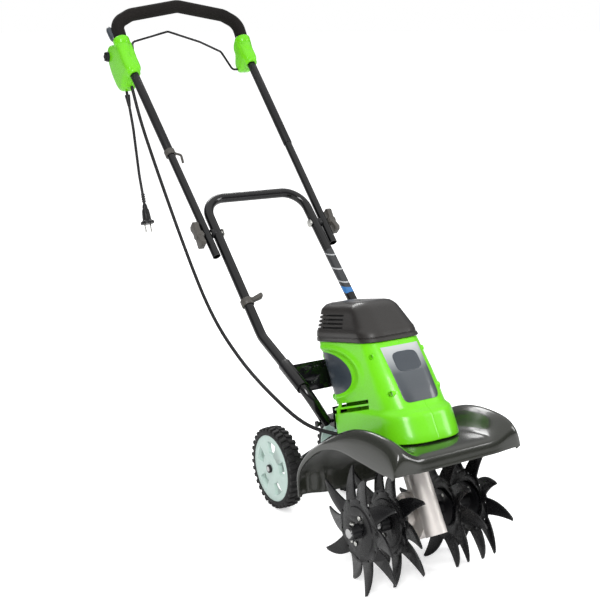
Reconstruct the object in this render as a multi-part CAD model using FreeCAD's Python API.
"""Corded electric garden tiller, as an assembly of separate pieces, in millimetres.

The origin is on the ground under the tine shaft, in the middle of the machine.
+Z is up, +Y points to the operator behind the machine, and -Y is the direction of travel.
"""
import FreeCAD, Part
import math
import os

Vec = FreeCAD.Vector
X_AXIS = Vec(1, 0, 0)
Y_AXIS = Vec(0, 1, 0)
Z_AXIS = Vec(0, 0, 1)
OUT_DIR = "parts"

# ---- tines and gear drive -------------------------------------------------
SHAFT_Z = 105.0            # height of the tine shaft
SHAFT_R = 8.0
SHAFT_HALF = 136.0
TIP_R = 108.0              # radius at the tips of the tines
DISC_R = 56.0              # radius of the round part of a star
STAR_T = 3.0
DISH_R = 40.0
DISH_DEPTH = 5.0
TEETH = 10
TOOTH_PHASE = 3.0          # degrees from straight forward to a tip
TOOTH_BEND = 11.0          # degrees, teeth are bent outward and inward in turn
OUTER_STAR_X = 112.0
INNER_STAR_X = 55.0
HUB_R = 12.0
PIN_R = 2.5                # hitch pins through the hubs
PIN_AT = 16.0              # from a star to its hitch pin
RIVET_R = 4.0
RIVET_CIRCLE = 25.0

MODULE = 1.75
WHEEL_TEETH = 40
WORM_R = 10.0              # pitch radius of the one-start worm
GEAR_CENTRE = MODULE * WHEEL_TEETH / 2 + WORM_R
MOTOR_LEAN = 33.0          # degrees that the motor axis leans back
BARREL_R = 18.5
GEAR_WALL = 3.5

# ---- power head casing, measured in the deck frame ------------------------
DECK_TILT = 13.5           # degrees that the casing floor rises to the front
DECK_Y = 46.0
DECK_Z = 237.0
CASE_WALL = 3.0
SKIRT_H = 50.0             # height of the wide foot of the casing
CASE_H = 163.0             # height of the split line under the cap
FLOOR_T = 3.0
POST_R = 5.5               # posts that join the two casing halves
POST_HALF = 61.0
POST_SCREW_R = 1.75
SCREW_SEAT_X = 44.0        # where the screw heads sit, at the bottom of their wells
DECK_SCREW_R = 2.5
DECK_SCREW_L = 8.0

# ---- fender ---------------------------------------------------------------
FENDER_HALF = 127.0
FENDER_T = 3.0

# ---- handle ---------------------------------------------------------------
LOWER_R = 9.5
UPPER_R = 8.0
UPPER_SLOPE = 42.6
UPPER_SPLAY = 0.025        # sideways spread of the upper legs per length
UPPER_FOOT = -54.0
LOOP_TURN = 482.0          # distance up the leg where the loop turns upright
LOOP_X = 147.0             # half width of the loop at its corners
LOWER_X = 112.0            # half spacing of the lower legs
UPPER_X = 134.0            # half spacing of the upper legs
HANDLE_SLOPE = 42.0        # degrees above level
BEND_Y = 333.0             # where the lower leg changes slope
BEND_Z = 350.0
PIVOT_Y = 514.0            # the knob bolts, about which the upper handle folds
LEG_SLOPE = 20.0
BOLT_R = 4.0
GRIP_R = 14.0
GRIP_Y = 923.0
GRIP_Z = 944.0
BAIL_Y = 884.0             # axis on which the bail turns
BAIL_Z = 806.0
BAIL_R = 2.5
LEG_END = 170.0            # where the lower leg turns in towards the wheel mount
LEG_BEND = 45.0            # bend radius of the lower tube
LOOP_BEND = 34.0           # bend radius of the upper tube
BRACKET_SLEEVE_FROM = 88.0  # the bracket's sleeve, by distance down the leg from its bend
BRACKET_SLEEVE_TO = 158.0
BRACKET_SLEEVE_R = 12.0
BRACKET_Z0 = 36.0          # the bracket plate, up the rear wall of the casing
BRACKET_Z1 = 88.0
BRACKET_OFF = 8.0
CROSSBAR_AT = 328.0        # distance up the steep part to the bar joining the legs
EAR_X = 25.0               # ears that hold the wheel frame
EAR_T = 3.0
KNOB_X = UPPER_X + UPPER_R + 2.5
TUBE_SLEEVE_LOW = 214.0    # sleeves on the upper legs, by distance up the leg
TUBE_SLEEVE_HIGH = 446.0
TUBE_SLEEVE_R = UPPER_R + 1.2
BOX_X = 145.0              # the upper leg's half spacing where it passes through the boxes
BOX_HALF = 17.5
BOX_WALL = 2.5
BOX_IN_X = BOX_X - BOX_HALF
BOX_OUT_X = BOX_X + BOX_HALF
BOX_SPLIT_X = BOX_X - 1.5  # the two halves of a box meet just beside the tube
BUTTON_R = 8.5

# ---- cables ---------------------------------------------------------------
CABLE_R = 3.5
CORD_R = 3.0

# ---- wheels ---------------------------------------------------------------
WHEEL_R = 80.0
RIM_R = 64.5
WHEEL_Y = 338.0
WHEEL_OUT_X = 92.0
WHEEL_W = 31.0
AXLE_R = 5.0
WINDOW_HALF_ANGLE = 17.0   # degrees, of the windows in a wheel
TYRE_LUGS = 30
FRAME_PIVOT_Y = 192.0      # where the wheel frame swings
FRAME_PIVOT_Z = 190.0

RUNNING_GAP = 0.05         # radial clearance of a turning fit

PIVOT_Z = BEND_Z + (PIVOT_Y - BEND_Y) * math.tan(math.radians(HANDLE_SLOPE))


# ---- shape helpers --------------------------------------------------------
def rod(start, axis, radius, length):
    """A solid cylinder from start along axis."""
    return Part.makeCylinder(radius, length, start, axis)


def rod_x(y, z, radius, x0, x1):
    """A solid cylinder along X."""
    return rod(Vec(x0, y, z), X_AXIS, radius, x1 - x0)


def tube_x(y, z, r_out, r_in, x0, x1):
    """A hollow cylinder along X."""
    return rod_x(y, z, r_out, x0, x1).cut(rod_x(y, z, r_in, x0 - 1, x1 + 1))


def block(x0, x1, y0, y1, z0, z1):
    return Part.makeBox(x1 - x0, y1 - y0, z1 - z0, Vec(x0, y0, z0))


def mirrored(shape):
    """The same shape on the other side of the machine."""
    return shape.mirror(Vec(0, 0, 0), X_AXIS)


def mirrored_point(point):
    return Vec(-point.x, point.y, point.z)


def polygon_wire(points):
    return Part.makePolygon(points + [points[0]])


def prism_x(outline, x0, x1):
    """Extrude a closed outline of (y, z) points from x0 to x1."""
    face = Part.Face(polygon_wire([Vec(x0, y, z) for y, z in outline]))
    return face.extrude(Vec(x1 - x0, 0, 0))


def joined(shapes):
    """Weld overlapping shapes into one solid."""
    first, rest = shapes[0], shapes[1:]
    return first.multiFuse(rest).removeSplitter() if rest else first


def bent_path(points, radius):
    """A wire of straight runs with a round bend at each inner point."""
    edges = []
    start = points[0]
    for before, corner, after in zip(points, points[1:], points[2:]):
        back = (before - corner).normalize()
        ahead = (after - corner).normalize()
        half = back.getAngle(ahead) / 2
        trim = min(radius / math.tan(half), 0.45 * min((before - corner).Length, (after - corner).Length))
        bend = trim * math.tan(half)
        middle = (back + ahead).normalize()
        centre = corner + middle * (bend / math.sin(half))
        arc_in, arc_out = corner + back * trim, corner + ahead * trim
        edges.append(Part.makeLine(start, arc_in))
        edges.append(Part.Arc(arc_in, centre - middle * bend, arc_out).toShape())
        start = arc_out
    edges.append(Part.makeLine(start, points[-1]))
    return Part.Wire(edges)


def bent_rod(points, radius, bend):
    """A round bar swept along a bent path."""
    path = bent_path(points, bend)
    circle = Part.Wire(Part.makeCircle(radius, points[0], points[1] - points[0]))
    return path.makePipeShell([circle], True, True)


def bent_tube(points, r_out, r_in, bend):
    return bent_rod(points, r_out, bend).cut(bent_rod(points, r_in, bend))


def placed(shape, placement):
    copy = shape.copy()
    copy.Placement = placement.multiply(copy.Placement)
    return copy


# ---- frames ---------------------------------------------------------------
def motor_frame():
    """Local z runs up the worm axis and local y points back, with z = 0 level with the shaft."""
    lean = math.radians(MOTOR_LEAN)
    base = Vec(0, -GEAR_CENTRE * math.cos(lean), SHAFT_Z + GEAR_CENTRE * math.sin(lean))
    return FreeCAD.Placement(base, FreeCAD.Rotation(X_AXIS, -MOTOR_LEAN))


def deck_frame():
    """Local z is square to the casing floor and local y points back along it."""
    return FreeCAD.Placement(Vec(0, DECK_Y, DECK_Z), FreeCAD.Rotation(X_AXIS, -DECK_TILT))


MOTOR = motor_frame()
DECK = deck_frame()


def to_deck(shape):
    """A world shape, seen from the deck frame."""
    return placed(shape, DECK.inverse())


# ---- power head casing ----------------------------------------------------
def rounded_section(z, front, rear, half, front_corner, rear_corner):
    """A level rounded rectangle in the deck frame."""
    f, r = front_corner, rear_corner
    f_mid, r_mid = f * (1 - math.sqrt(0.5)), r * (1 - math.sqrt(0.5))
    runs = [
        (Vec(-half + f, front, z), Vec(half - f, front, z), Vec(half - f_mid, front + f_mid, z)),
        (Vec(half, front + f, z), Vec(half, rear - r, z), Vec(half - r_mid, rear - r_mid, z)),
        (Vec(half - r, rear, z), Vec(-half + r, rear, z), Vec(-half + r_mid, rear - r_mid, z)),
        (Vec(-half, rear - r, z), Vec(-half, front + f, z), Vec(-half + f_mid, front + f_mid, z)),
    ]
    edges = []
    for index, (start, end, middle) in enumerate(runs):
        following = runs[(index + 1) % len(runs)][0]
        edges.append(Part.makeLine(start, end))
        edges.append(Part.Arc(end, middle, following).toShape())
    return Part.Wire(edges)


def section_loft(sections, inset=0.0):
    """Loft through (z, front, rear, half, front corner, rear corner) sections, pulled in by inset."""
    wires = []
    for z, front, rear, half, front_corner, rear_corner in sections:
        wires.append(rounded_section(z, front + inset, rear - inset, half - inset,
                                     front_corner - inset, rear_corner - inset))
    return Part.makeLoft(wires, True, True)


SKIRT = [(0, -107, 117, 68, 54, 28), (SKIRT_H, -90, 119, 67, 50, 28)]
BODY = [(SKIRT_H, -85, 115, 64, 46, 26), (110, -50, 138, 60, 38, 26), (CASE_H, -18, 162, 56, 32, 26)]
CAP = [(CASE_H, -22, 166, 59, 34, 28), (182, -12, 166, 57, 33, 28), (218, 18, 158, 46, 27, 24),
       (228, 30, 148, 36, 20, 18)]


def case_space():
    """The room inside the housing, above its floor and under the step round its waist."""
    step = SKIRT_H - CASE_WALL
    low = section_loft([(FLOOR_T, *SKIRT[0][1:]), (step, *SKIRT[1][1:])], CASE_WALL)
    high = section_loft([(step - 1, *BODY[0][1:])] + BODY[1:], CASE_WALL)
    return low.fuse(high)


def cradle(z0, z1, hole_r):
    """A web across the housing, square to the motor axis, with a round seat in it."""
    slab = Part.makeBox(200, 400, z1 - z0, Vec(-100, -200, z0))
    seat = rod(Vec(0, 0, z0 - 1), Z_AXIS, hole_r, z1 - z0 + 2)
    return to_deck(placed(slab.cut(seat), MOTOR))


def barrel_way(radius):
    """A round way through the floor for the gear case."""
    return to_deck(placed(rod(Vec(0, 0, 60), Z_AXIS, radius, 90), MOTOR))


SCREW_POSTS = [(-54, 80), (-14, 140), (106, 66), (134, 136)]
DECK_SCREWS = [(-48, -60), (48, -60), (-48, 75), (48, 75)]


def screw_post(y, z):
    """A post that joins the two halves, along X."""
    return rod_x(y, z, POST_R, -POST_HALF, POST_HALF)


def housing():
    outer = section_loft(SKIRT).fuse(section_loft(BODY))
    space = case_space()
    shell = outer.cut(space)
    inner = [cradle(152.0, 157.0, 27.5), cradle(196.0, 200.0, 43.2), cradle(240.0, 244.0, 43.2)]
    inner += [screw_post(y, z) for y, z in SCREW_POSTS]
    inside = joined([shell] + [piece.common(outer) for piece in inner])
    for y, z in SCREW_POSTS:
        inside = inside.cut(rod_x(y, z, POST_SCREW_R, -SCREW_SEAT_X, SCREW_SEAT_X))
        inside = inside.cut(rod_x(y, z, POST_R - 1.5, -80, -SCREW_SEAT_X))
        inside = inside.cut(rod_x(y, z, POST_R - 1.5, SCREW_SEAT_X, 80))
    for x, y in DECK_SCREWS:
        inside = inside.cut(rod(Vec(x, y, -1), Z_AXIS, DECK_SCREW_R, 8))
    for y in (92, 66, 40):
        for z in (32, 41):
            inside = inside.cut(block(-90, 90, y, y + 22, z, z + 4))
    inside = inside.cut(barrel_way(27.5))
    return inside


def housing_half(side):
    """The left (-1) or right (+1) shell, in the machine's frame."""
    x0 = -200 if side < 0 else 0
    return placed(housing().common(block(x0, x0 + 200, -300, 300, -50, 300)), DECK)


def housing_screws():
    """Screws along X through the posts, in from the left."""
    screws = []
    for y, z in SCREW_POSTS:
        shank = rod_x(y, z, POST_SCREW_R, -SCREW_SEAT_X, 20)
        head = rod_x(y, z, 3.5, -SCREW_SEAT_X - 3, -SCREW_SEAT_X)
        screws.append(placed(shank.fuse(head), DECK))
    return Part.makeCompound(screws)


def motor_cap():
    outer = section_loft(CAP)
    inner = section_loft(CAP[:-1] + [(225, *CAP[-1][1:])], CASE_WALL)
    cap = outer.cut(inner)
    for z in (184, 192, 200, 208):
        cap = cap.cut(block(-90, 90, 62, 134, z, z + 4).cut(block(-38, 38, 40, 150, z - 1, z + 5)))
    return placed(cap, DECK)


def badges():
    """A front plate and two D-shaped side plates, each lying on the casing."""
    rise = math.degrees(math.atan2(BODY[1][1] - BODY[0][1], BODY[1][0] - BODY[0][0]))
    front = Part.makeBox(50, 0.8, 94, Vec(-25, -0.8, 28))
    front = placed(front, FreeCAD.Placement(Vec(0, BODY[0][1], BODY[0][0]), FreeCAD.Rotation(X_AXIS, -rise)))
    lean = math.degrees(math.atan2(BODY[0][3] - BODY[1][3], BODY[1][0] - BODY[0][0]))
    plate = rod_x(56, 36, 32, 0, 0.8).common(block(0, 1, 20, 58, 8, 58))
    side = placed(plate, FreeCAD.Placement(Vec(BODY[0][3], 0, BODY[0][0]), FreeCAD.Rotation(Y_AXIS, -lean)))
    return placed(Part.makeCompound([front, side, mirrored(side)]), DECK)


# ---- motor ----------------------------------------------------------------
FAN_Z = 166.0
STATOR_Z0 = 192.0
STATOR_Z1 = 254.0
STATOR_R = 43.0
ARMATURE_R = 24.0
MOTOR_SHAFT_R = 5.0
END_FRAME_Z = 282.0


def stator():
    ring = rod(Vec(0, 0, STATOR_Z0), Z_AXIS, STATOR_R, STATOR_Z1 - STATOR_Z0)
    bore = rod(Vec(0, 0, STATOR_Z0 - 1), Z_AXIS, ARMATURE_R + 1, STATOR_Z1 - STATOR_Z0 + 2)
    coil_slot = Part.makeBox(18, 66, 80, Vec(-9, -33, STATOR_Z0 - 5))
    return placed(ring.cut(bore).cut(coil_slot), MOTOR)


def armature():
    """Core and commutator, pressed on the worm shaft."""
    core = rod(Vec(0, 0, STATOR_Z0 + 2), Z_AXIS, ARMATURE_R, STATOR_Z1 - STATOR_Z0 - 4)
    for index in range(12):
        slot = Part.makeBox(2.5, 8, 70, Vec(-1.25, ARMATURE_R - 5, STATOR_Z0))
        slot.rotate(Vec(0, 0, 0), Z_AXIS, index * 30)
        core = core.cut(slot)
    winding = rod(Vec(0, 0, STATOR_Z1 - 2), Z_AXIS, 15, 8)
    commutator = rod(Vec(0, 0, STATOR_Z1 + 6), Z_AXIS, 11, 16)
    body = joined([core, winding, commutator])
    return placed(body.cut(rod(Vec(0, 0, 100), Z_AXIS, MOTOR_SHAFT_R, 250)), MOTOR)


def worm_shaft():
    """The motor shaft with a one-start worm at its lower end."""
    lead = math.pi * MODULE
    turns = 7
    root_r = WORM_R - 1.1 * MODULE
    top_r = WORM_R + 0.9 * MODULE
    z0 = -turns * lead / 2
    helix = Part.makeHelix(lead, turns * lead, root_r)
    helix.translate(Vec(0, 0, z0))
    root_half, top_half = 0.36 * lead, 0.12 * lead
    inner = root_r - 0.6
    thread_form = Part.makePolygon([
        Vec(inner, 0, z0 - root_half), Vec(top_r, 0, z0 - top_half),
        Vec(top_r, 0, z0 + top_half), Vec(inner, 0, z0 + root_half), Vec(inner, 0, z0 - root_half)])
    thread = Part.Wire(helix).makePipeShell([thread_form], True, True)
    thread.rotate(Vec(0, 0, 0), Z_AXIS, -90)
    core = rod(Vec(0, 0, z0 - 4), Z_AXIS, root_r, turns * lead + 8)
    shaft = rod(Vec(0, 0, -36), Z_AXIS, MOTOR_SHAFT_R, 36 + END_FRAME_Z + 10)
    return placed(joined([core, thread, shaft]), MOTOR)


def fan():
    plate = rod(Vec(0, 0, FAN_Z), Z_AXIS, 37, 2)
    hub = rod(Vec(0, 0, FAN_Z), Z_AXIS, 10, 14)
    blades = []
    for index in range(9):
        blade = Part.makeBox(1.8, 27, 13, Vec(-0.9, 9, FAN_Z + 1))
        blade.rotate(Vec(0, 9, 0), Z_AXIS, 18)
        blade.rotate(Vec(0, 0, 0), Z_AXIS, index * 40)
        blades.append(blade)
    body = joined([plate, hub] + blades)
    return placed(body.cut(rod(Vec(0, 0, 100), Z_AXIS, MOTOR_SHAFT_R, 120)), MOTOR)


def motor_end_frame():
    """A disc on two posts, holding the top bearing and the brushes."""
    disc = rod(Vec(0, 0, END_FRAME_Z), Z_AXIS, 30, 10)
    disc = disc.cut(rod(Vec(0, 0, END_FRAME_Z - 1), Z_AXIS, 11, 12))
    posts = []
    for side in (-1, 1):
        posts.append(rod(Vec(0, side * 25, STATOR_Z1), Z_AXIS, 4, END_FRAME_Z - STATOR_Z1 + 5))
        holder_x = 15 if side > 0 else -27
        posts.append(Part.makeBox(12, 10, END_FRAME_Z - STATOR_Z1 - 6, Vec(holder_x, -5, STATOR_Z1 + 8)))
    return placed(joined([disc] + posts).cut(brush_blanks()), MOTOR)


def brush_blanks():
    pair = [Part.makeBox(14, 6, 6, Vec(x, -3, STATOR_Z1 + 11)) for x in (11.05, -25.05)]
    return Part.makeCompound(pair)


def carbon_brushes():
    return placed(brush_blanks(), MOTOR)


def motor_bearings():
    """A ring at each end of the worm shaft."""
    rings = []
    for z, r_out, width in ((-36, 9, 10), (END_FRAME_Z, 11, 9)):
        ring = rod(Vec(0, 0, z), Z_AXIS, r_out, width)
        rings.append(ring.cut(rod(Vec(0, 0, z - 1), Z_AXIS, MOTOR_SHAFT_R + RUNNING_GAP, width + 2)))
    return placed(Part.makeCompound(rings), MOTOR)


# ---- gear case ------------------------------------------------------------
WHEEL_OUT_R = MODULE * (WHEEL_TEETH / 2 + 1)
WHEEL_ROOM_R = WHEEL_OUT_R + 1.25
CASE_OUT_R = WHEEL_ROOM_R + GEAR_WALL
CASE_HALF_X = 14.0
ROOM_HALF_X = 10.5
BOSS_R = 18.0
BOSS_X = 27.0
BEARING_R = 14.0
BEARING_X0 = 16.0
FLANGE_Z = 157.0
BARREL_Z0 = -42.0


def gear_case_solid():
    """Outside of the whole gear case, in the motor frame (the shaft lies at y = GEAR_CENTRE)."""
    barrel = rod(Vec(0, 0, BARREL_Z0), Z_AXIS, BARREL_R, FLANGE_Z - BARREL_Z0)
    flare = Part.makeCone(BARREL_R, 26.5, 30, Vec(0, 0, 100), Z_AXIS)
    neck = rod(Vec(0, 0, 130), Z_AXIS, 26.5, FLANGE_Z - 130)
    flange = rod(Vec(0, 0, FLANGE_Z), Z_AXIS, 38, 5)
    drum = rod_x(GEAR_CENTRE, 0, CASE_OUT_R, -CASE_HALF_X, CASE_HALF_X)
    boss = rod_x(GEAR_CENTRE, 0, BOSS_R, -BOSS_X, BOSS_X)
    web = Part.makeBox(14, GEAR_CENTRE - 10, 80, Vec(-7, 0, 0))
    return joined([barrel, flare, neck, flange, drum, boss, web])


def gear_case_room():
    """The hollow inside the gear case."""
    worm_room = rod(Vec(0, 0, -27), Z_AXIS, WORM_R + 3.5, 54)
    shaft_room = rod(Vec(0, 0, 26), Z_AXIS, MOTOR_SHAFT_R + 2, FLANGE_Z)
    foot = rod(Vec(0, 0, -36), Z_AXIS, 9, 10)
    wheel_room = rod_x(GEAR_CENTRE, 0, WHEEL_ROOM_R, -ROOM_HALF_X, ROOM_HALF_X)
    bearing_room = rod_x(GEAR_CENTRE, 0, BEARING_R, -BOSS_X - 1, BOSS_X + 1)
    return joined([worm_room, shaft_room, foot, wheel_room, bearing_room])


def lug_places():
    """Centres of the screws that hold the cover, round the back of the drum."""
    return [(x, z) for x in (-21.0, 21.0) for z in (-31.0, 31.0)]


def gear_case_and_cover():
    """Split on the plane through the shaft, square to the line from worm to wheel."""
    whole = gear_case_solid()
    lugs = []
    for x, z in lug_places():
        lugs.append(rod(Vec(x, GEAR_CENTRE - 6, z), Y_AXIS, 5, 12))
        web_x = x if x < 0 else x - 14
        lugs.append(Part.makeBox(14, 12, 10, Vec(web_x, GEAR_CENTRE - 6, z - 5)))
    whole = joined([whole] + lugs).cut(gear_case_room())
    for x, z in lug_places():
        whole = whole.cut(rod(Vec(x, GEAR_CENTRE - 8, z), Y_AXIS, 2, 20))
    back = Part.makeBox(200, 200, 400, Vec(-100, GEAR_CENTRE, -150))
    return placed(whole.cut(back), MOTOR), placed(whole.common(back), MOTOR)


def machine_screws():
    """The gear case cover screws and the four screws up through the fender."""
    screws = []
    for x, z in lug_places():
        shank = rod(Vec(x, GEAR_CENTRE - 8, z), Y_AXIS, 2, 14)
        head = rod(Vec(x, GEAR_CENTRE + 6, z), Y_AXIS, 3.8, 3)
        screws.append(placed(shank.fuse(head), MOTOR))
    for x, y in DECK_SCREWS:
        shank = rod(Vec(x, y, -DECK_SCREW_L), Z_AXIS, DECK_SCREW_R, DECK_SCREW_L + FLOOR_T + 2)
        head = rod(Vec(x, y, -DECK_SCREW_L - 3), Z_AXIS, 5, 3)
        screws.append(placed(shank.fuse(head), DECK))
    return Part.makeCompound(screws)


def worm_wheel():
    """A wheel with teeth slanted to the worm's lead."""
    lead_angle = math.degrees(math.atan2(MODULE / 2, WORM_R))
    pitch_r = MODULE * WHEEL_TEETH / 2
    root_r = pitch_r - 1.2 * MODULE
    disc = rod_x(0, 0, root_r, -7, 7)
    half_root, half_top = 0.26 * math.pi * MODULE, 0.11 * math.pi * MODULE
    outline = [(-half_root, root_r - 0.8), (half_root, root_r - 0.8), (half_top, pitch_r + 0.8 * MODULE),
               (-half_top, pitch_r + 0.8 * MODULE)]
    teeth = []
    for index in range(WHEEL_TEETH):
        tooth = prism_x(outline, -7, 7)
        tooth.rotate(Vec(0, 0, 0), Z_AXIS, -lead_angle)
        tooth.rotate(Vec(0, 0, 0), X_AXIS, 90 - MOTOR_LEAN + 360.0 * (index + 0.5) / WHEEL_TEETH)
        teeth.append(tooth)
    body = disc.multiFuse(teeth)
    body = body.cut(rod_x(0, 0, SHAFT_R, -10, 10))
    body.translate(Vec(0, 0, SHAFT_Z))
    return body


def shaft_bearings():
    right = tube_x(0, SHAFT_Z, BEARING_R, SHAFT_R + RUNNING_GAP, BEARING_X0, BOSS_X)
    return Part.makeCompound([right, mirrored(right)])


# ---- tines ----------------------------------------------------------------
def tine_shaft():
    body = rod_x(0, SHAFT_Z, SHAFT_R, -SHAFT_HALF, SHAFT_HALF)
    for x in pin_places():
        body = body.cut(rod(Vec(x, 0, SHAFT_Z - 20), Z_AXIS, PIN_R, 40))
    return body


def pin_places():
    """Where a hitch pin goes through each hub."""
    return [side * x for side in (-1, 1) for x in (OUTER_STAR_X + PIN_AT, INNER_STAR_X + PIN_AT)]


def polar(radius, degrees):
    """A point in a star's plane, measured from straight forward towards up."""
    angle = math.radians(degrees)
    return Vec(0, -radius * math.cos(angle), radius * math.sin(angle))


def tooth(tip_angle, bend):
    """One curved, pointed tooth, hooked forward and bent out of the star's plane."""
    lead_root = polar(DISC_R - 4, tip_angle - 9)
    lead_tip = polar(TIP_R, tip_angle - 1.0)
    trail_tip = polar(TIP_R - 1, tip_angle + 1.5)
    trail_root = polar(DISC_R - 4, tip_angle + 25)
    edges = [
        Part.Arc(lead_root, polar(0.5 * (DISC_R + TIP_R), tip_angle - 1.5), lead_tip).toShape(),
        Part.makeLine(lead_tip, trail_tip),
        Part.Arc(trail_tip, polar(0.52 * (DISC_R + TIP_R), tip_angle + 12), trail_root).toShape(),
        Part.makeLine(trail_root, lead_root),
    ]
    blade = Part.Face(Part.Wire(edges)).extrude(Vec(STAR_T, 0, 0))
    hinge = polar(DISC_R - 3, tip_angle + 8)
    along = Vec(0, hinge.z, -hinge.y)
    blade.rotate(hinge, along, bend)
    return blade


def star(x, side):
    """A dished disc with curved teeth, bent outward and inward in turn."""
    disc = rod_x(0, 0, DISC_R, 0, STAR_T)
    dish = Part.makeCone(DISH_R + 4, DISH_R, DISH_DEPTH, Vec(0, 0, 0), X_AXIS)
    dish_room = Part.makeCone(DISH_R + 2, DISH_R - 2.5, DISH_DEPTH - 2.5, Vec(0, 0, 0), X_AXIS)
    blades = []
    for index in range(TEETH):
        bend = TOOTH_BEND if index % 2 == 0 else -TOOTH_BEND
        blades.append(tooth(TOOTH_PHASE + index * 360.0 / TEETH, bend))
    body = joined([disc, dish] + blades).cut(dish_room)
    body = body.cut(rod_x(0, 0, HUB_R, -20, 20))
    for index in range(TEETH):
        notch = polar(DISC_R - 5, TOOTH_PHASE + (index + 0.4) * 360.0 / TEETH)
        body = body.cut(rod_x(notch.y, notch.z, 2.2, -20, 20))
    for y, z in rivet_spots():
        body = body.cut(rod_x(y, z, RIVET_R - 1, -20, 20))
    if side < 0:
        body = mirrored(body)
    body.translate(Vec(side * x, 0, SHAFT_Z))
    return body


def rivet_spots():
    return [(-RIVET_CIRCLE * math.cos(math.radians(a)), RIVET_CIRCLE * math.sin(math.radians(a)))
            for a in (80, 260)]


def tine_hubs():
    """A sleeve with a flange inside each star, held on the shaft by a hitch pin."""
    hubs = []
    for star_x in (INNER_STAR_X, OUTER_STAR_X):
        sleeve = tube_x(0, 0, HUB_R, SHAFT_R, star_x - 22, star_x + 21)
        top = star_x + DISH_DEPTH - 2.5
        flange = tube_x(0, 0, 32, HUB_R - 1, top - 3, top)
        hub = sleeve.fuse(flange)
        for y, z in rivet_spots():
            hub = hub.cut(rod_x(y, z, RIVET_R - 1, top - 10, top + 5))
        hub.translate(Vec(0, 0, SHAFT_Z))
        hub = hub.cut(rod(Vec(star_x + PIN_AT, 0, SHAFT_Z - 30), Z_AXIS, PIN_R, 60))
        hubs += [hub, mirrored(hub)]
    return Part.makeCompound(hubs)


def tine_rivets():
    rivets = []
    for star_x in (INNER_STAR_X, OUTER_STAR_X):
        face = star_x + DISH_DEPTH
        for y, z in rivet_spots():
            shank = rod_x(y, z + SHAFT_Z, RIVET_R - 1, face - 5.5, face)
            head = rod_x(y, z + SHAFT_Z, RIVET_R, face, face + 2)
            rivet = shank.fuse(head)
            rivets += [rivet, mirrored(rivet)]
    return Part.makeCompound(rivets)


def hitch_pins():
    """A pin through each hub, with a clip wire folded beside the hub."""
    pins = []
    for x in pin_places():
        pin = rod(Vec(x, 0, SHAFT_Z - 17), Z_AXIS, PIN_R, 34)
        head = rod(Vec(x, 0, SHAFT_Z + 15), Z_AXIS, 4.5, 3)
        pins.append(pin.fuse(head))
    return Part.makeCompound(pins)


# ---- fender ---------------------------------------------------------------
FENDER_MIDDLE = [(166, 98), (169, 142), (152, 180), (122, 214), (50, 234), (-10, 248.5), (-60, 260.5),
                 (-102, 264), (-112, 243)]
FENDER_EAR = [(178, 98), (181, 142), (156, 186), (109, 224), (42, 267), (-15, 286), (-76, 290),
              (-106, 277), (-112, 245)]
FENDER_EDGE = [(176, 98), (179, 140), (152, 182), (106, 219), (42, 244), (-15, 250), (-76, 254),
               (-103, 254), (-110, 245)]
FENDER_STATIONS = [(0, 0.0, 0.0), (72, 0.0, 0.0), (96, 0.7, 0.0), (116, 1.0, 0.0), (FENDER_HALF, 1.0, 1.0)]


def blend_profiles(low, high, share):
    return [(a[0] + (b[0] - a[0]) * share, a[1] + (b[1] - a[1]) * share) for a, b in zip(low, high)]


def inward(profile, depth):
    """Move an open (y, z) profile to its inner side by depth."""
    moved = []
    last = len(profile) - 1
    for index, (y, z) in enumerate(profile):
        y0, z0 = profile[max(index - 1, 0)]
        y1, z1 = profile[min(index + 1, last)]
        length = math.hypot(y1 - y0, z1 - z0)
        moved.append((y + depth * (z0 - z1) / length, z + depth * (y1 - y0) / length))
    return moved


def fender_block(depth, half):
    """The solid under the fender's skin, set in by depth."""
    wires = []
    stations = FENDER_STATIONS[::-1] + FENDER_STATIONS[1:]
    for index, (x, ear, edge) in enumerate(stations):
        side = -1 if index < len(FENDER_STATIONS) else 1
        profile = blend_profiles(FENDER_MIDDLE, FENDER_EAR, ear)
        profile = blend_profiles(profile, FENDER_EDGE, edge)
        if depth:
            profile = inward(profile, depth)
            profile = [(profile[0][0], profile[0][1] - 10)] + profile[1:-1]
            profile = profile + [(-112 + depth, 228)]
        place = side * min(x, half)
        wires.append(polygon_wire([Vec(place, y, z) for y, z in profile]))
    return Part.makeLoft(wires, True, True)


def fender_opening():
    """The arch left open at each end, seen from the side."""
    return [(171, 80), (173, 138), (147, 176), (103, 211), (60, 229), (0, 234), (-70, 236), (-98, 240),
            (-104, 232), (-104, 150)]


def fender():
    skin = fender_block(0.0, FENDER_HALF).cut(fender_block(FENDER_T, FENDER_HALF - FENDER_T))
    skin = skin.cut(prism_x(fender_opening(), 100, 140)).cut(prism_x(fender_opening(), -140, -100))
    skin = skin.cut(placed(rod(Vec(0, 0, 60), Z_AXIS, 28, 90), MOTOR))
    for x, y in DECK_SCREWS:
        skin = skin.cut(placed(rod(Vec(x, y, -12), Z_AXIS, DECK_SCREW_R, 20), DECK))
        skin = skin.cut(placed(rod(Vec(x, y, -14), Z_AXIS, 6, 14 - 4.5), DECK))
    return skin


# ---- handle ---------------------------------------------------------------
def along_leg(distance, x=LOWER_X):
    """A point on the low-slope part of a lower leg, forward of its bend."""
    slope = math.radians(LEG_SLOPE)
    return Vec(x, BEND_Y - distance * math.cos(slope), BEND_Z - distance * math.sin(slope))


LEG_FOOT = Vec(68, 178, 226)


def leg_above_bend(distance, x=LOWER_X):
    """A point on the steep part of a lower leg, measured up from its bend."""
    slope = math.radians(HANDLE_SLOPE)
    return Vec(x, BEND_Y + distance * math.cos(slope), BEND_Z + distance * math.sin(slope))


def lower_handle_points():
    left = [LEG_FOOT, along_leg(LEG_END + 12), leg_above_bend(0), leg_above_bend(CROSSBAR_AT)]
    right = [mirrored_point(p) for p in reversed(left)]
    return left + right


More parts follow.
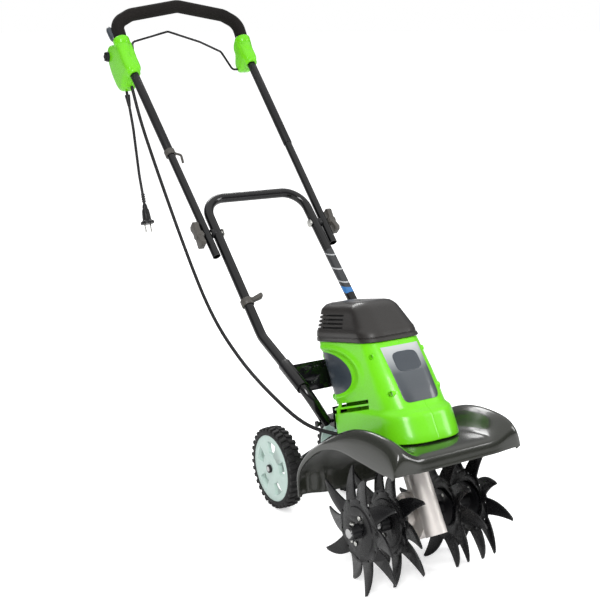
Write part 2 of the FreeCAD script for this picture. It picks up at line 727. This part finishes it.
def handle_bolt_hole(radius):
    return rod_x(PIVOT_Y, PIVOT_Z, radius, -200, 200)


def lower_handle():
    tube = bent_tube(lower_handle_points(), LOWER_R, LOWER_R - 1.5, LEG_BEND)
    foot_hole = rod_x(LEG_FOOT.y, LEG_FOOT.z, 3, -90, 90)
    return tube.cut(handle_bolt_hole(BOLT_R)).cut(foot_hole)


def bracket_plane():
    """Local z climbs the sloping rear wall of the casing and local y points back, off the wall."""
    foot = DECK.multVec(Vec(0, BODY[0][2], BODY[0][0]))
    top = DECK.multVec(Vec(0, BODY[2][2], BODY[2][0]))
    lean = math.degrees(math.atan2(top.y - foot.y, top.z - foot.z))
    return FreeCAD.Placement(foot, FreeCAD.Rotation(X_AXIS, -lean))


BOLTS_ON_A_SIDE = [(42, 78), (42, 46), (80, 50), (84, 76), (64, 78)]
BRACKET_BOLTS = [(x * side, z) for side in (-1, 1) for x, z in BOLTS_ON_A_SIDE]


def leg_sleeve(radius):
    start, end = along_leg(BRACKET_SLEEVE_TO), along_leg(BRACKET_SLEEVE_FROM)
    return rod(start, end - start, radius, (end - start).Length)


def handle_bracket():
    """A plate behind the casing, welded to a sleeve round each lower leg."""
    plane = bracket_plane()
    plate = Part.makeBox(2 * LOWER_X, 4, BRACKET_Z1 - BRACKET_Z0, Vec(-LOWER_X, BRACKET_OFF, BRACKET_Z0))
    lip = Part.makeBox(96, BRACKET_OFF, 6, Vec(-48, 0, BRACKET_Z1 - 8))
    foot = Part.makeBox(96, BRACKET_OFF, 6, Vec(-48, 0, BRACKET_Z0))
    pieces = [placed(piece, plane) for piece in (plate, lip, foot)]
    pieces += [leg_sleeve(BRACKET_SLEEVE_R), mirrored(leg_sleeve(BRACKET_SLEEVE_R))]
    body = joined(pieces)
    body = body.cut(bent_rod(lower_handle_points(), LOWER_R, LEG_BEND))
    for x, z in BRACKET_BOLTS:
        body = body.cut(placed(rod(Vec(x, BRACKET_OFF - 1, z), Y_AXIS, 3, 8), plane))
    return body


def frame_bolts():
    """Bolts of the handle bracket, the leg feet and the wheel frame pivot."""
    plane = bracket_plane()
    bolts = []
    for x, z in BRACKET_BOLTS:
        shank = rod(Vec(x, BRACKET_OFF, z), Y_AXIS, 3, 4)
        head = rod(Vec(x, BRACKET_OFF + 4, z), Y_AXIS, 5.5, 3.5)
        bolts.append(placed(shank.fuse(head), plane))
    foot_bolt = rod_x(LEG_FOOT.y, LEG_FOOT.z, 3, 52, 85).fuse(rod_x(LEG_FOOT.y, LEG_FOOT.z, 5.5, 85, 89))
    bolts += [foot_bolt, mirrored(foot_bolt)]
    pin = rod_x(FRAME_PIVOT_Y, FRAME_PIVOT_Z, 5, -28, 28)
    bolts.append(pin.fuse(rod_x(FRAME_PIVOT_Y, FRAME_PIVOT_Z, 8, 28, 33)))
    return Part.makeCompound(bolts)


def wheel_mount():
    """A plate behind the casing's foot, with ears for the leg feet and the wheel frame pivot."""
    plate = placed(block(-57, 57, 120.2, 123.2, 6, 46), DECK)
    ear_outline = [(165, 217), (174, 248), (203, 202), (206, 190), (198, 180), (186, 180)]
    ear = prism_x(ear_outline, EAR_X, EAR_X + EAR_T)
    foot_outline = [(166, 217), (172, 240), (188, 236), (190, 220), (180, 216)]
    side = prism_x(foot_outline, 52, 57)
    body = joined([plate, ear, mirrored(ear), side, mirrored(side)])
    body = body.cut(rod_x(FRAME_PIVOT_Y, FRAME_PIVOT_Z, 5, -60, 60))
    return body.cut(rod_x(LEG_FOOT.y, LEG_FOOT.z, 3, -80, 80))


def handle_spacers():
    """A washer between the lower and upper tubes at each knob bolt, hollowed to sit on the lower one."""
    washer = tube_x(PIVOT_Y, PIVOT_Z, 9, BOLT_R, LOWER_X, UPPER_X - UPPER_R - 0.5)
    washer = largest(washer.cut(bent_rod(lower_handle_points(), LOWER_R, LEG_BEND)))
    return Part.makeCompound([washer, mirrored(washer)])


def handle_bolts():
    bolt = rod_x(PIVOT_Y, PIVOT_Z, BOLT_R, LOWER_X - LOWER_R - 1, KNOB_X + 8)
    bolt = bolt.fuse(rod_x(PIVOT_Y, PIVOT_Z, 8, LOWER_X - LOWER_R - 4, LOWER_X - LOWER_R - 1))
    return Part.makeCompound([bolt, mirrored(bolt)])


def knob():
    """A two-winged knob on the bolt outside the upper tube."""
    hub = rod_x(0, 0, 9, KNOB_X, KNOB_X + 14)
    collar = rod_x(0, 0, 7, KNOB_X - 1.9, KNOB_X)
    pieces = [hub, collar]
    for side in (-1, 1):
        outline = [(side * y, z) for y, z in ((3, -7), (22, -12), (27, -8), (27, 8), (22, 12), (3, 7))]
        pieces.append(prism_x(outline, KNOB_X + 3, KNOB_X + 13))
    body = joined(pieces).cut(rod_x(0, 0, BOLT_R + RUNNING_GAP, KNOB_X - 5, KNOB_X + 8 + RUNNING_GAP))
    body.rotate(Vec(0, 0, 0), X_AXIS, HANDLE_SLOPE)
    body.translate(Vec(0, PIVOT_Y, PIVOT_Z))
    return body


def upper_at(distance, drop=0.0, x=UPPER_X):
    """A point on the straight upper leg, measured up from the knob bolt, or a drop below the leg."""
    slope = math.radians(UPPER_SLOPE)
    return Vec(x + distance * UPPER_SPLAY, PIVOT_Y + distance * math.cos(slope) + drop * math.sin(slope),
               PIVOT_Z + distance * math.sin(slope) - drop * math.cos(slope))


def loop_points():
    """The bent tube from the right foot, over the grip, to the left foot."""
    right = [upper_at(UPPER_FOOT), upper_at(LOOP_TURN), Vec(LOOP_X, 917, 907), Vec(112, 921, 925)]
    left = [mirrored_point(p) for p in reversed(right)]
    return right + [Vec(0, GRIP_Y, GRIP_Z)] + left


def upper_handle():
    tube = bent_tube(loop_points(), UPPER_R, UPPER_R - 1.2, LOOP_BEND)
    return tube.cut(handle_bolt_hole(BOLT_R + RUNNING_GAP))


def tube_sleeve_rod(radius):
    low, high = upper_at(TUBE_SLEEVE_LOW), upper_at(TUBE_SLEEVE_HIGH)
    return rod(low, high - low, radius, (high - low).Length)


def tube_sleeves():
    """A slightly thicker sleeve on each leg, under the boxes."""
    sleeve = tube_sleeve_rod(TUBE_SLEEVE_R).cut(tube_sleeve_rod(UPPER_R))
    return Part.makeCompound([sleeve, mirrored(sleeve)])


def foam_grip():
    """Foam over the whole top of the loop, down to the boxes."""
    foam = foam_rod()
    return foam.cut(bent_rod(loop_points(), UPPER_R, LOOP_BEND))


# outlines of the boxes: (distance up the leg, drop below it)
SWITCH_OUTLINE = [(432, -13), (432, 14), (428, 46), (444, 64), (500, 66), (534, 56), (548, 42), (544, 24),
                  (526, 10), (520, -17)]
PIVOT_OUTLINE = [(458, -13), (458, 26), (466, 42), (484, 40), (502, 18), (524, 14), (528, -17)]


def leg_outline(outline, scale=1.0):
    """Turn (distance up the leg, drop below it) points into (y, z), pulled towards their middle by scale."""
    mid_s = sum(s for s, n in outline) / len(outline)
    mid_n = sum(n for s, n in outline) / len(outline)
    points = []
    for s, n in outline:
        place = upper_at(mid_s + (s - mid_s) * scale, mid_n + (n - mid_n) * scale)
        points.append((place.y, place.z))
    return points


def handle_box(outline):
    """A hollow box round the tube, for the right side of the machine."""
    x0, x1 = BOX_X - BOX_HALF, BOX_X + BOX_HALF
    outer = prism_x(leg_outline(outline), x0, x1)
    shell = outer.cut(prism_x(leg_outline(outline, 0.9), x0 + BOX_WALL, x1 - BOX_WALL))
    for part_inside in (bent_rod(loop_points(), UPPER_R, LOOP_BEND), tube_sleeve_rod(TUBE_SLEEVE_R), foam_rod()):
        shell = shell.cut(part_inside)
    return shell


def foam_rod():
    """The foam's outside, from box to box over the top of the loop."""
    points = loop_points()
    start = points[1] + (points[2] - points[1]) * 0.42
    return bent_rod([start] + points[2:7] + [mirrored_point(start)], GRIP_R, LOOP_BEND)


def largest(shape):
    return max(shape.Solids, key=lambda solid: solid.Volume)


def switch_box_halves():
    """The left box, split beside the tube, with a hole for the lock button."""
    box = mirrored(handle_box(SWITCH_OUTLINE))
    box = box.cut(rod_x(BUTTON.y, BUTTON.z, BUTTON_R + 0.5, -200, -BOX_OUT_X + 11))
    box = box.cut(rod_x(BAIL_Y, BAIL_Z, BAIL_R + RUNNING_GAP, -BOX_IN_X - 4, -BOX_IN_X + 4))
    for start, after in (INLET, OUTLET):
        way = (after - start).normalize()
        box = box.cut(rod(start - way * 15, way, CABLE_R, 50))
    outer = box.common(block(-200, -BOX_SPLIT_X, 700, 1000, 600, 1000))
    inner = box.common(block(-BOX_SPLIT_X, 0, 700, 1000, 600, 1000))
    return largest(outer), largest(inner)


def pivot_box():
    """The right box, in two halves."""
    box = handle_box(PIVOT_OUTLINE)
    box = box.cut(rod_x(BAIL_Y, BAIL_Z, BAIL_R + RUNNING_GAP, BOX_IN_X - 4, BOX_IN_X + 4))
    outer = box.common(block(BOX_SPLIT_X, 200, 700, 1000, 600, 1000))
    inner = box.common(block(0, BOX_SPLIT_X, 700, 1000, 600, 1000))
    return Part.makeCompound([largest(outer), largest(inner)])


BUTTON = upper_at(526, 44)
INLET = [mirrored_point(upper_at(446, 54)), Vec(-144, 848, 690)]
OUTLET = [mirrored_point(upper_at(440, 32, UPPER_X - 3)), Vec(-136, 800, 676)]


def lock_button():
    """A round push button on the outside of the switch box."""
    stem = rod_x(BUTTON.y, BUTTON.z, BUTTON_R, -BOX_OUT_X - 4, -BOX_OUT_X + 6)
    return stem.fuse(rod_x(BUTTON.y, BUTTON.z, 4.5, -BOX_OUT_X - 8, -BOX_OUT_X - 4))


def switch_unit():
    """The power switch inside the left box."""
    middle = upper_at(478, 38)
    return block(-152, -133, middle.y - 12, middle.y + 12, middle.z - 16, middle.z + 16)


def bail_points():
    reach = BOX_IN_X + 3
    left = [Vec(-reach, BAIL_Y, BAIL_Z), Vec(-119, BAIL_Y, BAIL_Z), Vec(-119, 899, 868), Vec(-34, 900, 890)]
    right = [Vec(44, 900, 867), Vec(96, 900, 845), Vec(117, BAIL_Y, BAIL_Z), Vec(reach, BAIL_Y, BAIL_Z)]
    return left + right


def bail_rod():
    """The wire lever under the grip, pulled up to run the motor."""
    return bent_rod(bail_points(), BAIL_R, 9)


def cord_hook():
    """A strap round the left tube, just under its sleeve, with a hook for the supply lead."""
    low, high = upper_at(TUBE_SLEEVE_LOW - 12), upper_at(TUBE_SLEEVE_LOW)
    axis = high - low
    strap = rod(low, axis, UPPER_R + 3, axis.Length)
    middle = low + axis * 0.5
    hook = bent_rod([middle + Vec(-9, 0, 0), middle + Vec(-22, -5, -4), middle + Vec(-24, -10, -20)], 2.5, 6)
    return mirrored(strap.fuse(hook).cut(rod(low - axis, axis, UPPER_R, 3 * axis.Length)))


def cable_clip():
    """A clip on the left lower leg, with an arm that holds a loop of lead."""
    base = leg_above_bend(70, -LOWER_X)
    axis = (leg_above_bend(71, -LOWER_X) - base).normalize()
    strap = rod(base, axis, LOWER_R + 3, 14)
    middle = base + axis * 7
    arm = bent_rod([middle + Vec(9, 0, 0), middle + Vec(20, 2, 3), middle + Vec(33, 6, 12)], 5, 8)
    return strap.fuse(arm).cut(rod(base - axis * 20, axis, LOWER_R, 60))


# ---- cables and plug ------------------------------------------------------
CABLE_JOINT = Vec(-124, 520, 352)
CORD_ENTRY = DECK.multVec(Vec(-50, 108, -6.5))
CORD_TURN = Vec(-88, 207, 214)
JOINT_WAY = Vec(-0.02, -0.8, -0.6).normalize()


def joint_gap():
    """A thin gap where the cable is cut at the fold of the handle."""
    return rod(CABLE_JOINT - JOINT_WAY * 0.6, JOINT_WAY, 10, 1.2)


def motor_cable_upper():
    """From the switch box down past the fold line of the handle."""
    cable = bent_rod(OUTLET + [Vec(-127, 640, 470), CABLE_JOINT], CABLE_R, 120)
    return largest(cable.cut(joint_gap()))


def motor_cable_lower():
    points = [CABLE_JOINT, Vec(-120, 400, 285), Vec(-112, 275, 243), CORD_TURN, CORD_ENTRY]
    return largest(bent_rod(points, CABLE_R, 60).cut(joint_gap()))


def cord_clamp():
    """A clamp under the casing that holds the end of the cable."""
    clamp = placed(block(-57, -43, 103, 114, -12, 0), DECK)
    run = CORD_TURN - CORD_ENTRY
    return clamp.cut(rod(CORD_ENTRY, run, CABLE_R, run.Length))


CORD_LOW = Vec(-139, 836, 590)     # where the cord starts to swing towards the plug
PLUG_TOP = Vec(-138, 813, 524)
PLUG_TILT = math.degrees(math.atan2(CORD_LOW.y - PLUG_TOP.y, CORD_LOW.z - PLUG_TOP.z))
PLUG = FreeCAD.Placement(PLUG_TOP, FreeCAD.Rotation(X_AXIS, -PLUG_TILT))
PLUG_BODY_L = 34.0
PLUG_FLANGE_T = 6.0
PIN_L = 18.0


def inlet_cord():
    start, after = INLET
    way = (after - start).normalize()
    cord = bent_rod(INLET + [CORD_LOW, PLUG_TOP], CORD_R, 90)
    relief = Part.makeCone(6, 3.6, 24, start + way * 19, way)
    return largest(cord.fuse(relief).cut(plug()))


def plug():
    """The plug's body, hanging from the end of the cord, with its flange below."""
    body = block(-8, 8, -10, 10, -PLUG_BODY_L, 0)
    flange = block(-14, 14, -16, 16, -PLUG_BODY_L - PLUG_FLANGE_T, -PLUG_BODY_L)
    return placed(body.fuse(flange), PLUG)


def plug_pins():
    high = -PLUG_BODY_L - PLUG_FLANGE_T
    pair = [block(x, x + 1.6, -3.5, 3.5, high - PIN_L, high) for x in (-7.1, 5.5)]
    return placed(Part.makeCompound(pair), PLUG)


# ---- wheels ---------------------------------------------------------------
def wheel_frame():
    """A fork from the pivot to the axle tube."""
    py, pz = FRAME_PIVOT_Y, FRAME_PIVOT_Z
    barrel = rod_x(py, pz, 9, -EAR_X + 0.5, EAR_X - 0.5)
    axle_tube = rod_x(WHEEL_Y, WHEEL_R, 9, -WHEEL_OUT_X + WHEEL_W + 1, WHEEL_OUT_X - WHEEL_W - 1)
    reach = Vec(0, WHEEL_Y - py, WHEEL_R - pz)
    arms = []
    for x in (-20.0, 16.0):
        arm = Part.makeBox(4, reach.Length, 20, Vec(x, 0, -10))
        tilt = math.degrees(math.atan2(reach.z, reach.y))
        arms.append(placed(arm, FreeCAD.Placement(Vec(0, py, pz), FreeCAD.Rotation(X_AXIS, tilt))))
    body = joined([barrel, axle_tube] + arms)
    return body.cut(rod_x(py, pz, 5 + RUNNING_GAP, -60, 60)).cut(rod_x(WHEEL_Y, WHEEL_R, AXLE_R, -110, 110))


def axle_rod():
    return rod_x(WHEEL_Y, WHEEL_R, AXLE_R, -WHEEL_OUT_X - 6, WHEEL_OUT_X + 6)


def axle_caps():
    cap = tube_x(WHEEL_Y, WHEEL_R, 8, AXLE_R, WHEEL_OUT_X + 1, WHEEL_OUT_X + 5)
    return Part.makeCompound([cap, mirrored(cap)])


def wheel_disc(side):
    """A five-window plastic wheel."""
    x0 = WHEEL_OUT_X - WHEEL_W
    rim = rod_x(0, 0, RIM_R, x0 + 1, WHEEL_OUT_X - 1)
    rim = rim.cut(rod_x(0, 0, RIM_R - 5, x0 - 1, WHEEL_OUT_X - 9))
    hub = rod_x(0, 0, 13, x0, WHEEL_OUT_X)
    disc = rim.fuse(hub)
    for index in range(5):
        window = rod_x(0, 0, 52, x0, x0 + 60).cut(rod_x(0, 0, 30, x0, x0 + 60))
        half = 90 * math.tan(math.radians(WINDOW_HALF_ANGLE))
        wedge = prism_x([(0, 0), (half, 90), (-half, 90)], x0, x0 + 60)
        opening = window.common(wedge)
        opening.rotate(Vec(0, 0, 0), X_AXIS, 72 * index)
        disc = disc.cut(opening)
    disc = disc.cut(rod_x(0, 0, AXLE_R + RUNNING_GAP, 0, 200))
    disc.translate(Vec(0, WHEEL_Y, WHEEL_R))
    return disc if side > 0 else mirrored(disc)


def tyre(side):
    """A ring with chunky lugs across its tread."""
    x0 = WHEEL_OUT_X - WHEEL_W
    ring = tube_x(0, 0, WHEEL_R - 4, RIM_R, x0, WHEEL_OUT_X)
    lugs = []
    for index in range(TYRE_LUGS):
        lug = Part.makeBox(WHEEL_W - 4, 9, 7, Vec(x0 + 2, -4.5, WHEEL_R - 7.3))
        lug.rotate(Vec(0, 0, 0), X_AXIS, 360.0 * index / TYRE_LUGS)
        lugs.append(lug)
    trimmed = ring.multiFuse(lugs).common(rod_x(0, 0, WHEEL_R, x0 - 1, WHEEL_OUT_X + 1))
    trimmed.translate(Vec(0, WHEEL_Y, WHEEL_R))
    return trimmed if side > 0 else mirrored(trimmed)


# ---- the assembly ---------------------------------------------------------
def build():
    case, cover = gear_case_and_cover()
    box_outer, box_inner = switch_box_halves()
    return {
        "housing_left": housing_half(-1),
        "housing_right": housing_half(1),
        "housing_screws": housing_screws(),
        "motor_cap": motor_cap(),
        "badges": badges(),
        "stator": stator(),
        "armature": armature(),
        "worm_shaft": worm_shaft(),
        "cooling_fan": fan(),
        "motor_end_frame": motor_end_frame(),
        "carbon_brushes": carbon_brushes(),
        "motor_bearings": motor_bearings(),
        "gear_case": case,
        "gear_case_cover": cover,
        "machine_screws": machine_screws(),
        "worm_wheel": worm_wheel(),
        "shaft_bearings": shaft_bearings(),
        "tine_shaft": tine_shaft(),
        "tine_outer_left": star(OUTER_STAR_X, -1),
        "tine_inner_left": star(INNER_STAR_X, -1),
        "tine_inner_right": star(INNER_STAR_X, 1),
        "tine_outer_right": star(OUTER_STAR_X, 1),
        "tine_hubs": tine_hubs(),
        "tine_rivets": tine_rivets(),
        "hitch_pins": hitch_pins(),
        "fender": fender(),
        "lower_handle": lower_handle(),
        "handle_bracket": handle_bracket(),
        "frame_bolts": frame_bolts(),
        "wheel_mount": wheel_mount(),
        "handle_spacers": handle_spacers(),
        "handle_bolts": handle_bolts(),
        "knob_right": knob(),
        "knob_left": mirrored(knob()),
        "upper_handle": upper_handle(),
        "tube_sleeves": tube_sleeves(),
        "foam_grip": foam_grip(),
        "switch_box_outer": box_outer,
        "switch_box_inner": box_inner,
        "pivot_box": pivot_box(),
        "lock_button": lock_button(),
        "switch_unit": switch_unit(),
        "bail_rod": bail_rod(),
        "cord_hook": cord_hook(),
        "cable_clip": cable_clip(),
        "motor_cable_upper": motor_cable_upper(),
        "motor_cable_lower": motor_cable_lower(),
        "cord_clamp": cord_clamp(),
        "inlet_cord": inlet_cord(),
        "plug_body": plug(),
        "plug_pins": plug_pins(),
        "wheel_frame": wheel_frame(),
        "axle_rod": axle_rod(),
        "axle_caps": axle_caps(),
        "wheel_disc_left": wheel_disc(-1),
        "wheel_disc_right": wheel_disc(1),
        "tyre_left": tyre(-1),
        "tyre_right": tyre(1),
    }


def main():
    os.makedirs(OUT_DIR, exist_ok=True)
    for name, shape in build().items():
        shape.exportStep(os.path.join(OUT_DIR, name + ".step"))


main()
